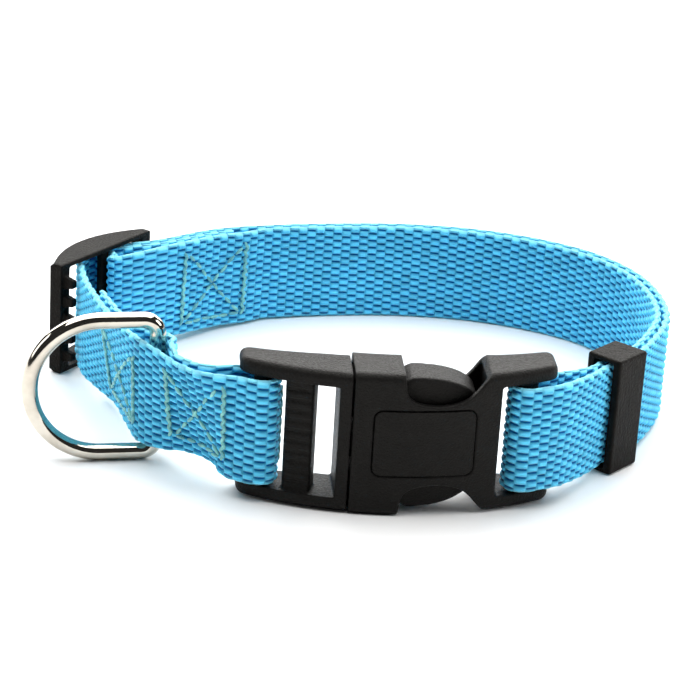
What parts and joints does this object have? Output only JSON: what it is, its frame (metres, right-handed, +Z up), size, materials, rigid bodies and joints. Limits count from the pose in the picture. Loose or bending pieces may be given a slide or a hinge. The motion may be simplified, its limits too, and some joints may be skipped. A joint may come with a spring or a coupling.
{
  "type": "dog collar",
  "caption": "Fastened webbing dog collar with a side release buckle, a sliding adjuster, a keeper and a D shaped lead ring",
  "frame": {"origin": "under the middle of the collar's bounding box, on the surface that it lies on", "axes": "+X to the wearer's side of the buckle where the socket half is, -Y towards the buckle, +Z up across the webbing's width"},
  "size_m": [0.12, 0.101, 0.0286],
  "materials": {
    "webbing": "light blue flat woven webbing",
    "buckle_plastic": "black fine grained plastic",
    "glide_plastic": "black fine grained plastic",
    "keeper_plastic": "black fine grained plastic",
    "ring_metal": "polished nickel plated steel"
  },
  "bodies": {
    "collar": {"strap": "webbing", "male_buckle": "buckle_plastic", "female_buckle": "buckle_plastic", "tri_glide": "glide_plastic", "keeper": "keeper_plastic"},
    "ring": {"d_ring": "ring_metal"}
  },
  "joints": [
    {"name": "ring_swing", "type": "hinge", "parent": "collar", "child": "ring", "pos_m": [-0.03605, -0.03157, 0.01431], "axis": [0, 0, 1], "range_deg": [-45, 105]}
  ]
}
